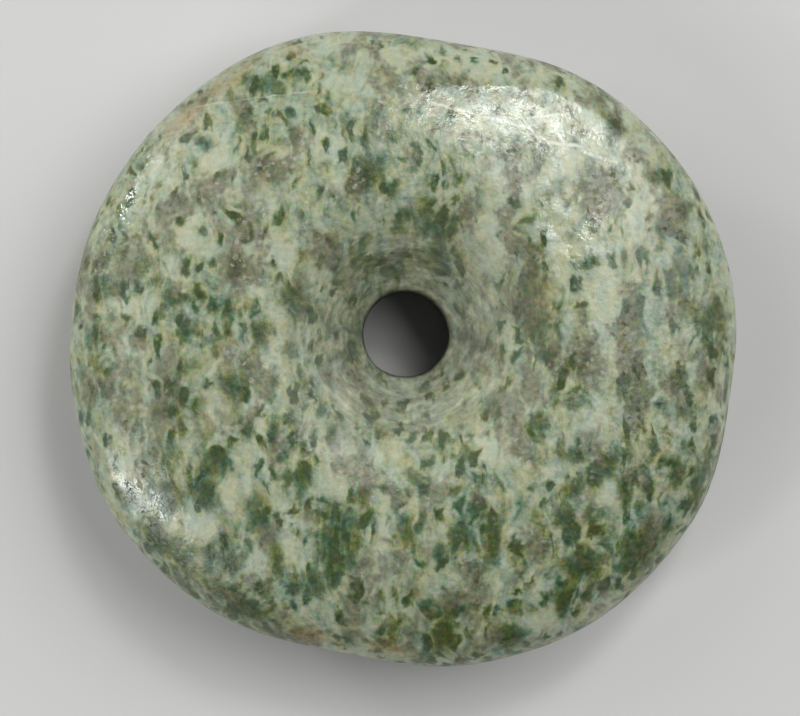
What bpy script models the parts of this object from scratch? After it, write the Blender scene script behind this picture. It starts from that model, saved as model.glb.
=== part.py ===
"""A stone spindle whorl: a thick ground disc, domed on both faces, dished round a drilled bore.

The whorl lies on its underside, as it does when it is off the spindle. The origin is on the
ground under the middle of the disc, and +Z is up along the bore.
"""

import math

import bmesh
import bpy
from mathutils import Vector

MM = 0.001

# Size of the disc
DISC_RADIUS = 24.10 * MM        # from the middle to the rim, where nothing has been ground away
WIDEST_HEIGHT = 6.0 * MM        # of the rim's widest line above the ground
TOP_DEPTH = 6.5 * MM            # of the upper dome above the widest line, before it was dished

# Hollows and flats ground into the rim: bearing in degrees from +X towards +Y, depth, and spread in
# degrees. The first two are the broad hollows on opposite sides that give the disc its waisted look.
RIM_HOLLOWS = (
    (80, 1.90 * MM, 24),
    (259, 1.80 * MM, 22),
    (130, 0.35 * MM, 26),
    (227, 0.35 * MM, 14),
    (290, 0.35 * MM, 13),
    (44, 0.25 * MM, 14),
    (352, 0.38 * MM, 10),
    (174, 0.25 * MM, 12),
    (194, 0.15 * MM, 8),
    (331, -0.15 * MM, 8),
)

# Bore: drilled straight, and a little worn out of round
BORE_OFFSET = (0.20 * MM, 0.98 * MM)    # its axis from the middle of the disc
BORE_RADIUS = 3.02 * MM
BORE_EDGE = 0.22 * MM                   # rounding of its edges
BORE_FLATS = (
    (48, 0.09 * MM, 24),
    (226, -0.06 * MM, 16),
    (352, -0.07 * MM, 14),
)

# Top face: a dome, dished round the bore, and steeper close to the bore where the drill bit wandered
TOP_DOME_POWER = 3.3                    # higher is flatter across the middle
DOME_EDGE_POWER = 2.2                   # higher is blunter at the rim
DISH_RADIUS = 9.9 * MM
DISH_REACH = 0.5 * MM                   # the dish is this much wider towards DISH_BEARING
DISH_BEARING = 350
DISH_SLOPE = math.tan(math.radians(34))
COUNTERSINK_RADIUS = 4.7 * MM
COUNTERSINK_SLOPE = math.tan(math.radians(14))      # added to the dish's own
COUNTERSINK_ROUNDING = 0.6 * MM
LIP_ROUNDING = 1.5 * MM                 # where the dish meets the dome
LIP_INSIDE = 1.4 * MM                   # how far the rounded lip reaches into the dish
LIP_OUTSIDE = 2.5 * MM                  # and out to the crest of the dome

# Ground flats on the top face: bearing in degrees, distance from the middle at which the flat leaves
# the dome, and slope in degrees
TOP_FLATS = (
    (64, 15.6 * MM, 17),
    (99, 18.7 * MM, 27),
    (208, 18.9 * MM, 27),
    (320, 17.5 * MM, 20),
)
FLAT_EDGE = 0.12 * MM                   # rounding along the edge of a flat

# Underside: fuller, with a shallow cone round the bore and a worn flat that it rests on
UNDER_DOME_POWER = 4.6
UNDER_CONE_RADIUS = 8.2 * MM            # inner edge of the worn flat
UNDER_CONE_SLOPE = math.tan(math.radians(16))
WORN_FLAT_RADIUS = 14.1 * MM            # outer edge of the worn flat

# How finely the skin is faceted
BEARINGS = 96
EDGE_RINGS = 2
BORE_RINGS = 3
COUNTERSINK_RINGS = 3
DISH_RINGS = 3
LIP_RINGS = 7
DOME_RINGS = 11
CONE_RINGS = 2
FLAT_RINGS = 1

# The stone: pale grey-green, spotted, with a worn polish
STONE_COLOUR = (0.252, 0.284, 0.193, 1.0)
STONE_ROUGHNESS = 0.38


def bump(theta, marks):
    """Depth at a bearing of a list of (bearing, depth, spread) marks, each fading smoothly away."""
    total = 0.0
    for bearing, depth, spread in marks:
        turn = (math.degrees(theta) - bearing + 180.0) % 360.0 - 180.0
        total += depth * math.exp(-((turn / spread) ** 2))
    return total


def blend(x, low, high):
    """0 below low, 1 above high, with a smooth rise between."""
    t = min(max((x - low) / (high - low), 0.0), 1.0)
    return t * t * (3.0 - 2.0 * t)


def soft_ramp(x, rounding):
    """x where it is positive, 0 where it is negative, rounded where the two meet."""
    return 0.5 * (x + math.sqrt(x * x + rounding * rounding))


def rim_radius(theta):
    return DISC_RADIUS - bump(theta, RIM_HOLLOWS)


def dome(share, depth, power):
    """Height of a dome above its rim at a share of the way out from the middle to the rim."""
    return depth * (1.0 - min(share, 1.0) ** power) ** (1.0 / DOME_EDGE_POWER)


def dish(radius, theta):
    """Depth of the dish and its countersink at a distance from the bore's axis."""
    reach = DISH_REACH * math.cos(theta - math.radians(DISH_BEARING))
    deeper = COUNTERSINK_SLOPE * soft_ramp(COUNTERSINK_RADIUS - radius, COUNTERSINK_ROUNDING)
    return DISH_SLOPE * soft_ramp(DISH_RADIUS + reach - radius, LIP_ROUNDING) + deeper


def top_height(radius, theta):
    """Height of the top face on a ring, before the flats were ground."""
    return WIDEST_HEIGHT + dome(radius / DISC_RADIUS, TOP_DEPTH, TOP_DOME_POWER) - dish(radius, theta)


def ring_through(distance, theta):
    """Radius of the ring that passes through the top face at a distance from the middle."""
    crest = DISH_RADIUS + LIP_OUTSIDE
    return crest + (distance - crest) * (DISC_RADIUS - crest) / (rim_radius(theta) - crest)


def ground_down(x, y, z):
    """The height z on the top face, lowered to each ground flat that passes below it."""
    for bearing, start, degrees in TOP_FLATS:
        turn = math.radians(bearing)
        out = x * math.cos(turn) + y * math.sin(turn) - start
        flat = top_height(ring_through(start, turn), turn) - out * math.tan(math.radians(degrees))
        z -= soft_ramp(z - flat, FLAT_EDGE)
    return z


def ring_point(radius, theta):
    """Plan position: rings are round the bore near it, and follow the disc's outline at the rim."""
    crest = DISH_RADIUS + LIP_OUTSIDE
    out = max(radius - crest, 0.0) / (DISC_RADIUS - crest)
    shown = radius + out * (rim_radius(theta) - DISC_RADIUS)
    shown -= bump(theta, BORE_FLATS) * (1.0 - blend(radius, BORE_RADIUS, COUNTERSINK_RADIUS))
    drift = 1.0 - blend(radius, DISH_RADIUS, DISC_RADIUS)
    x = BORE_OFFSET[0] * drift + shown * math.cos(theta)
    y = BORE_OFFSET[1] * drift + shown * math.sin(theta)
    return x, y


def steps(low, high, count):
    """Evenly spaced radii above low, up to high."""
    return [low + (high - low) * i / count for i in range(1, count + 1)]


def dome_radii(start, power):
    """Ring radii from start to just inside the rim, closer together as the dome turns down."""
    first = math.asin((start / DISC_RADIUS) ** (power / 2.0))
    turns = steps(first, math.pi / 2.0, DOME_RINGS)[:-1]
    return [DISC_RADIUS * math.sin(turn) ** (2.0 / power) for turn in turns]


def top_radii():
    lip = DISH_RADIUS - LIP_INSIDE
    crest = DISH_RADIUS + LIP_OUTSIDE
    return (
        steps(BORE_RADIUS + BORE_EDGE, COUNTERSINK_RADIUS + COUNTERSINK_ROUNDING, COUNTERSINK_RINGS)
        + steps(COUNTERSINK_RADIUS + COUNTERSINK_ROUNDING, lip, DISH_RINGS)
        + steps(lip, crest, LIP_RINGS)
        + dome_radii(crest, TOP_DOME_POWER)
    )


def under_radii():
    return (
        steps(BORE_RADIUS + BORE_EDGE, UNDER_CONE_RADIUS, CONE_RINGS)
        + steps(UNDER_CONE_RADIUS, WORN_FLAT_RADIUS, FLAT_RINGS)
        + dome_radii(WORN_FLAT_RADIUS, UNDER_DOME_POWER)
    )


def top_point(radius, theta):
    x, y = ring_point(radius, theta)
    return Vector((x, y, ground_down(x, y, top_height(radius, theta))))


def under_point(radius, theta):
    """The lower dome is just deep enough to pass through the ground at the worn flat's outer edge."""
    x, y = ring_point(radius, theta)
    depth = WIDEST_HEIGHT / dome(WORN_FLAT_RADIUS / DISC_RADIUS, 1.0, UNDER_DOME_POWER)
    z = WIDEST_HEIGHT - dome(radius / DISC_RADIUS, depth, UNDER_DOME_POWER)
    if radius <= WORN_FLAT_RADIUS:
        z = UNDER_CONE_SLOPE * max(UNDER_CONE_RADIUS - radius, 0.0)
    return Vector((x, y, z))


def bore_edge(face_point, into, bearings):
    """Rings round one mouth of the bore, from the face down into the bore. into is -1 from the top."""
    rings = []
    for turn in [0.5 * math.pi * i / EDGE_RINGS for i in range(EDGE_RINGS + 1)]:
        radius = BORE_RADIUS + BORE_EDGE * (1.0 - math.sin(turn))
        fall = into * BORE_EDGE * (1.0 - math.cos(turn))
        rings.append([
            Vector((*ring_point(radius, t), face_point(BORE_RADIUS + BORE_EDGE, t).z + fall))
            for t in bearings
        ])
    return rings


def bore_wall(lower, upper):
    """Rings between the lower and the upper edge of the bore."""
    shares = [i / (BORE_RINGS + 1) for i in range(1, BORE_RINGS + 1)]
    return [[a.lerp(b, share) for a, b in zip(lower, upper)] for share in shares]


def skin():
    """Rings of points round the whole skin: up the bore, out over the top, round the rim and back."""
    bearings = [2.0 * math.pi * i / BEARINGS for i in range(BEARINGS)]
    upper = bore_edge(top_point, -1, bearings)
    lower = bore_edge(under_point, 1, bearings)
    rings = bore_wall(lower[-1], upper[-1]) + upper[::-1]
    rings += [[top_point(radius, t) for t in bearings] for radius in top_radii()]
    rings += [[Vector((*ring_point(DISC_RADIUS, t), WIDEST_HEIGHT)) for t in bearings]]
    rings += [[under_point(radius, t) for t in bearings] for radius in reversed(under_radii())]
    return rings + lower


def stone():
    material = bpy.data.materials.new("spotted green stone")
    material.use_nodes = True
    shader = material.node_tree.nodes["Principled BSDF"]
    shader.inputs["Base Color"].default_value = STONE_COLOUR
    shader.inputs["Roughness"].default_value = STONE_ROUGHNESS
    shader.inputs["Metallic"].default_value = 0.0
    material.diffuse_color = STONE_COLOUR
    return material


def build_whorl():
    bm = bmesh.new()
    rings = [[bm.verts.new(p) for p in ring] for ring in skin()]
    for i, ring in enumerate(rings):
        following = rings[(i + 1) % len(rings)]
        for j in range(BEARINGS):
            k = (j + 1) % BEARINGS
            bm.faces.new((ring[j], ring[k], following[k], following[j]))
    bmesh.ops.triangulate(bm, faces=bm.faces[:])
    bmesh.ops.recalc_face_normals(bm, faces=bm.faces[:])
    for face in bm.faces:
        face.smooth = True
    mesh = bpy.data.meshes.new("whorl")
    bm.to_mesh(mesh)
    bm.free()
    mesh.materials.append(stone())
    whorl = bpy.data.objects.new("whorl", mesh)
    bpy.context.scene.collection.objects.link(whorl)
    return whorl


for left_over in list(bpy.data.objects):
    bpy.data.objects.remove(left_over)

build_whorl()
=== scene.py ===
# %% [markdown]
# # A stone spindle whorl
#
# A spindle whorl is a weight with a hole in it. It sits on a wooden spindle and keeps it turning while
# thread is spun. This one is a thick disc of spotted green stone, ground round by hand, domed on both
# faces, dished round a drilled bore and polished by long use. This notebook lays a fine stone skin over
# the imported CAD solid, gives it a procedural stone, and lights it softly from the upper right.

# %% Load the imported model
import math

import bpy
import numpy as np
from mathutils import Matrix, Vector, noise
from mathutils.bvhtree import BVHTree


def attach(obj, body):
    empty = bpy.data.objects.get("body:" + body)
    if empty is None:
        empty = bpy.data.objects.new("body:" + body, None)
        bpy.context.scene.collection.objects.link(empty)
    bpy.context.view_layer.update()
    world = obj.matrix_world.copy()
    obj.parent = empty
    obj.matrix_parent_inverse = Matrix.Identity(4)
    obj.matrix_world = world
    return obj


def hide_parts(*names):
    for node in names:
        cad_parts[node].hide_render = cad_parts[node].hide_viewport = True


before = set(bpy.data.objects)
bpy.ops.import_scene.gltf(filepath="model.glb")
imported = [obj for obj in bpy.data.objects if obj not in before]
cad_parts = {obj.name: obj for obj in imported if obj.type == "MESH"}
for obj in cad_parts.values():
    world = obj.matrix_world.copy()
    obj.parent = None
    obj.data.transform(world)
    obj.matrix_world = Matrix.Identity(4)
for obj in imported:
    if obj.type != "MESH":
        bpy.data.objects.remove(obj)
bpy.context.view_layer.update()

# %% [markdown]
# ## Units, colours and nodes
#
# Everything in the scene is in metres, but a whorl is read in millimetres, so sizes here are written in
# millimetres and multiplied by MM. Colours are written as sRGB hex, as a paint chart gives them, and one
# function turns them into the linear values that Blender's shaders use.

# %% Helpers for units, colours and shader nodes
MM = 0.001


def linear(hex_colour):
    """An sRGB hex colour as linear red, green, blue and alpha, by the curve of the sRGB standard."""
    parts = [int(hex_colour.lstrip("#")[i:i + 2], 16) / 255 for i in (0, 2, 4)]
    return [c / 12.92 if c <= 0.04045 else ((c + 0.055) / 1.055) ** 2.4 for c in parts] + [1.0]


def add_node(tree, kind, settings=None, **inputs):
    """Adds a shader node, sets its properties, and sets or links its inputs by name or number."""
    node = tree.nodes.new("ShaderNode" + kind)
    for name, value in (settings or {}).items():
        setattr(node, name, value)
    for name, value in inputs.items():
        socket = node.inputs[int(name[1:])] if name[0] == "_" else node.inputs[name.replace("_", " ")]
        if isinstance(value, bpy.types.NodeSocket):
            tree.links.new(value, socket)
        else:
            socket.default_value = value
    return node


print("a cream stone in linear light:", [round(c, 3) for c in linear("#b0b392")])

# %% [markdown]
# ## The shape: a fine skin over the CAD solid
#
# The CAD solid is right in its main forms but has coarse facets. The skin could be a subdivided copy of
# it, but then its points would bunch where the facets do. Instead, a ring runs through the middle of the
# stone, round the bore, and rays go out from it in every direction until they meet the solid. That gives
# an even net of points all round the whorl, bore and underside included, as if the stone were wrapped in
# fine mesh. A light smoothing takes the facets out and leaves the forms.

# %% Where the stone's own lines run
BORE_AXIS = np.array([0.20, 0.98]) * MM     # the bore is drilled a little off the middle of the disc
CORE_RADIUS = 12.5 * MM                     # of the ring that the rays start from
CORE_HEIGHT = 6.0 * MM
SCAN_BEARINGS = 360
SCAN_TURNS = 480                            # rays from each point of the ring, in a full turn
print("rays start", round(CORE_RADIUS / MM, 1), "mm from the bore's axis")

# %% Scan the solid from the ring inside it
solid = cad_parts["whorl"]
solid_tree = BVHTree.FromPolygons(
    [v.co for v in solid.data.vertices], [p.vertices for p in solid.data.polygons]
)


def scan(bearings, turns):
    """Distances from the ring to the solid's surface, one row for each bearing round the bore."""
    rows = np.zeros((len(bearings), len(turns)))
    for i, bearing in enumerate(bearings):
        out = Vector((math.cos(bearing), math.sin(bearing), 0.0))
        start = Vector((*BORE_AXIS, CORE_HEIGHT)) + out * CORE_RADIUS
        for j, turn in enumerate(turns):
            ray = out * math.cos(turn) + Vector((0.0, 0.0, math.sin(turn)))
            rows[i, j] = solid_tree.ray_cast(start, ray)[3]
    return rows


scan_bearings = np.arange(SCAN_BEARINGS) * 2 * math.pi / SCAN_BEARINGS
scan_turns = np.arange(SCAN_TURNS) * 2 * math.pi / SCAN_TURNS
reach = scan(scan_bearings, scan_turns)
print("rays", reach.size, "reach", round(reach.min() / MM, 2), "to", round(reach.max() / MM, 2), "mm")

# %% [markdown]
# A plain blur would shrink every rounded form a little. So the net is blurred, and then given back what
# the blur would take off a second time, which leaves the forms at their size and takes the facets out.

# %% Smooth the facets out and keep the forms


def blurred(rows, axis, degrees):
    """A Gaussian blur of a net that closes on itself, along one of its two directions."""
    count = rows.shape[axis]
    frequency = np.fft.rfftfreq(count)
    spread = degrees / 360 * count
    pass_share = np.exp(-2 * (math.pi * frequency * spread) ** 2)
    shape = [1, 1]
    shape[axis] = len(frequency)
    return np.fft.irfft(np.fft.rfft(rows, axis=axis) * pass_share.reshape(shape), count, axis)


def without_facets(rows, axis, degrees):
    """A blur that gives back what it took off rounded forms, so that the skin doesn't shrink."""
    once = blurred(rows, axis, degrees)
    return 2 * once - blurred(once, axis, degrees)


SMOOTHING = (2.4, 1.3)                      # in degrees, round the bore and round the section
for direction_of_net, degrees in enumerate(SMOOTHING):
    reach = without_facets(reach, direction_of_net, degrees)
print("smoothed, mean reach", round(reach.mean() / MM, 3), "mm")

# %% [markdown]
# The net is spaced by length along the stone's own section: close over the dished face, where the eye
# goes, and wider underneath.

# %% Space the net along the section
NET_BEARINGS = 520
TOP_STATIONS = 112
UNDER_STATIONS = 70
section_reach = reach.mean(axis=0)
section = np.stack([section_reach * np.cos(scan_turns), section_reach * np.sin(scan_turns)], axis=1)
step = np.linalg.norm(np.roll(section, -1, axis=0) - section, axis=1)
along = np.concatenate([[0.0], np.cumsum(step)])
half = SCAN_TURNS // 2


def stations(first, last, count):
    """Turn angles of evenly spaced points along the section, from one scanned ray up to another."""
    marks = np.linspace(along[first], along[last], count, endpoint=False)
    return np.interp(marks, along, np.append(scan_turns, 2 * math.pi))


net_turns = np.concatenate([stations(0, half, TOP_STATIONS), stations(half, SCAN_TURNS, UNDER_STATIONS)])
net_bearings = np.arange(NET_BEARINGS) * 2 * math.pi / NET_BEARINGS
print("section length", round(along[-1] / MM, 1), "mm,", len(net_turns), "stations")

# %% Lay the net on the smoothed solid


def periodic(rows, axis, places):
    """Values of a net that closes on itself at places between its rows, along Catmull-Rom curves."""
    count = rows.shape[axis]
    whole = np.floor(places).astype(int)
    t = (places - whole).reshape([-1, 1] if axis == 0 else [1, -1])
    before, here, after, beyond = (np.take(rows, (whole + k) % count, axis) for k in (-1, 0, 1, 2))
    bend = 2 * before - 5 * here + 4 * after - beyond
    twist = 3 * (here - after) + beyond - before
    return here + 0.5 * t * (after - before + t * (bend + t * twist))


net = periodic(reach, 0, net_bearings / (2 * math.pi) * SCAN_BEARINGS)
net = periodic(net, 1, net_turns / (2 * math.pi) * SCAN_TURNS)


def laid_out(distance):
    """Points of the net at a distance from the ring along each ray."""
    plan = CORE_RADIUS + distance * np.cos(net_turns)
    x = BORE_AXIS[0] + plan * np.cos(net_bearings)[:, None]
    y = BORE_AXIS[1] + plan * np.sin(net_bearings)[:, None]
    return np.stack([x, y, CORE_HEIGHT + distance * np.sin(net_turns)], axis=2)


smooth_points = laid_out(net)
print("net of", net.shape[0], "x", net.shape[1], "points")

# %% [markdown]
# ## The marks of the hand
#
# Stone ground on stone is never quite true. Some places were ground a second time, the face has small
# chips and rolls gently, pits open where a crystal pulled out, and the drill left rings in the dish and
# the bore. A sculptor would carve them with brushes. Here each is a short rule that says how deep the
# stone is cut at every point, so that it can be read and changed. All of it is cut inwards from the
# smooth skin, along the same rays, so the whorl keeps its size. Marks finer than the net's spacing, of
# about a quarter of a millimetre, are left to the bump in the material.

# %% A smooth step, used for every mark that fades out


def rise(value, low, high):
    """0 below low, 1 above high, with a smooth rise between."""
    t = np.clip((value - low) / (high - low), 0.0, 1.0)
    return t * t * (3.0 - 2.0 * t)


print("a quarter of the way up, the rise is at", round(float(rise(0.25, 0.0, 1.0)), 2))

# %% [markdown]
# The brightest mark in the photograph is a flat on the upper right of the face. A whetstone leaves a true
# plane there, and a plane shines all at once. Each flat is given by the place that it passes under, how
# deep, and which way it faces. Whatever stands above that plane is cut down to it.

# %% Flats that were ground a second time
GROUND_AGAIN = (                            # x, y and depth in millimetres, bearing and slope in degrees
    (11.6, 16.6, 0.30, 56, 18),
    (4.5, 17.9, 0.10, 70, 18),
    (-18.4, -10.2, 0.12, 208, 28),
)
TOP_HEIGHT = 10.0 * MM                      # near enough to the top face to find a place on it
LEAST_FACING = 0.3                          # keeps rays that graze a plane from cutting too far
skin_points = smooth_points.reshape(-1, 3)
rays = laid_out(net + 1.0).reshape(-1, 3) - skin_points     # one unit further out along each ray
cut = np.zeros(len(skin_points))
for x, y, depth, bearing, slope in GROUND_AGAIN:
    away = np.linalg.norm(skin_points - np.array([x * MM, y * MM, TOP_HEIGHT]), axis=1)
    b, t = math.radians(bearing), math.radians(slope)
    facing = np.array([math.sin(t) * math.cos(b), math.sin(t) * math.sin(b), math.cos(t)])
    above = (skin_points - skin_points[away.argmin()]) @ facing + depth * MM
    cut += np.maximum(above, 0.0) / np.maximum(rays @ facing, LEAST_FACING)
print("ground again, deepest", round(cut.max() / MM, 2), "mm, on", int((cut > 0).sum()), "points")

# %% Small chips and dents on the top face
DENTS = (                                   # x, y, radius and depth, in millimetres
    (10.4, 8.7, 0.7, 0.21),
    (11.7, 7.3, 0.8, 0.26),
    (12.9, 8.6, 0.7, 0.22),
    (14.1, 7.4, 0.6, 0.16),
    (13.9, 10.2, 1.0, 0.14),
    (10.9, 5.9, 0.6, 0.14),
    (17.4, 3.6, 1.8, 0.10),
)
TOP_FACE = (3.5 * MM, 6.5 * MM)             # heights between which the side turns into the top face
for x, y, radius, depth in DENTS:
    away = np.hypot(skin_points[:, 0] / MM - x, skin_points[:, 1] / MM - y) / radius
    cut += depth * MM * np.exp(-(away**2)) * rise(skin_points[:, 2], *TOP_FACE)
print("dents", len(DENTS), "and the deepest", max(dent[3] for dent in DENTS), "mm")

# %% Slow rolls, as a hand leaves them
ROLLS = ((7.0 * MM, 0.060 * MM), (2.6 * MM, 0.030 * MM), (1.1 * MM, 0.012 * MM))    # width and depth
ROLL_PLACE = (11.0, 5.0, 3.0)               # where in the noise a roll is read, so that no two agree
for number, (size, depth) in enumerate(ROLLS):
    shift = Vector((ROLL_PLACE[0] * number, *ROLL_PLACE[1:]))
    roll = np.array([noise.noise(Vector(p) / size + shift) for p in skin_points])
    cut += depth * (0.5 + 0.5 * roll)       # turns -1 and 1 into none and all of the depth
print("rolls", [round(size / MM, 1) for size, depth in ROLLS], "mm wide")

# %% Pits where crystals pulled out
PITS = 90
PIT_RADIUS = (0.30 * MM, 0.75 * MM)
PIT_DEPTH = 0.06 * MM
PIT_SEED = 7
drawn = np.random.default_rng(PIT_SEED)
for centre in skin_points[drawn.integers(0, len(skin_points), PITS)]:
    radius = drawn.uniform(*PIT_RADIUS)
    away = np.linalg.norm(skin_points - centre, axis=1) / radius
    cut += PIT_DEPTH * radius / PIT_RADIUS[1] * np.exp(-(away**3))
print("pits", PITS, "of up to", round(PIT_RADIUS[1] / MM, 2), "mm radius")

# %% Rings that the drill left in the dish and the bore
RING_SPACING = 0.85 * MM
RING_DEPTH = 0.022 * MM
DISH_EDGE = (6.8 * MM, 8.8 * MM)            # the rings fade out here, before the lip of the dish
WOBBLES = ((2, 0.12, 0.6), (3, 0.07, 0.0))  # times round the bore, size in ring spacings, and start
from_bore = np.hypot(*(skin_points[:, :2] - BORE_AXIS).T)
bearing_round_bore = np.arctan2(skin_points[:, 1] - BORE_AXIS[1], skin_points[:, 0] - BORE_AXIS[0])
wobble = sum(size * np.sin(times * bearing_round_bore + start) for times, size, start in WOBBLES)
rings = 0.5 + 0.5 * np.sin(2 * math.pi * (from_bore / RING_SPACING + wobble))
cut += RING_DEPTH * rings * (1 - rise(from_bore, *DISH_EDGE))
print("rings every", round(RING_SPACING / MM, 2), "mm")

# %% Cut the marks into the skin, and keep its underside on the ground
points = laid_out(net - cut.reshape(net.shape))
points[:, :, 2] = np.maximum(points[:, :, 2], 0.0)
print("cut inwards, mean", round(cut.mean() / MM, 3), "deepest", round(cut.max() / MM, 3), "mm")

# %% [markdown]
# The net closes on itself both ways, like the skin of a ring doughnut, so every face is a plain four-sided
# one and there is no seam and no pole.

# %% Build the mesh


def wrapped_faces(rows, columns):
    """Four-sided faces of a net that closes on itself both ways, turned to face out."""
    index = np.arange(rows * columns).reshape(rows, columns)
    right = np.roll(index, -1, axis=0)
    up = np.roll(index, -1, axis=1)
    corner = np.roll(right, -1, axis=1)
    return np.stack([index, right, corner, up], axis=2).reshape(-1, 4)


def mesh_from(name, grid):
    """A smooth-shaded mesh of a net of points."""
    mesh = bpy.data.meshes.new(name)
    mesh.from_pydata(grid.reshape(-1, 3).tolist(), [], wrapped_faces(*grid.shape[:2]).tolist())
    mesh.shade_smooth()
    mesh.update()
    return mesh


whorl = bpy.data.objects.new("whorl_stone", mesh_from("whorl_stone", points))
bpy.context.scene.collection.objects.link(whorl)
print("faces", len(whorl.data.polygons), "as triangles", 2 * len(whorl.data.polygons))
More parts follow.
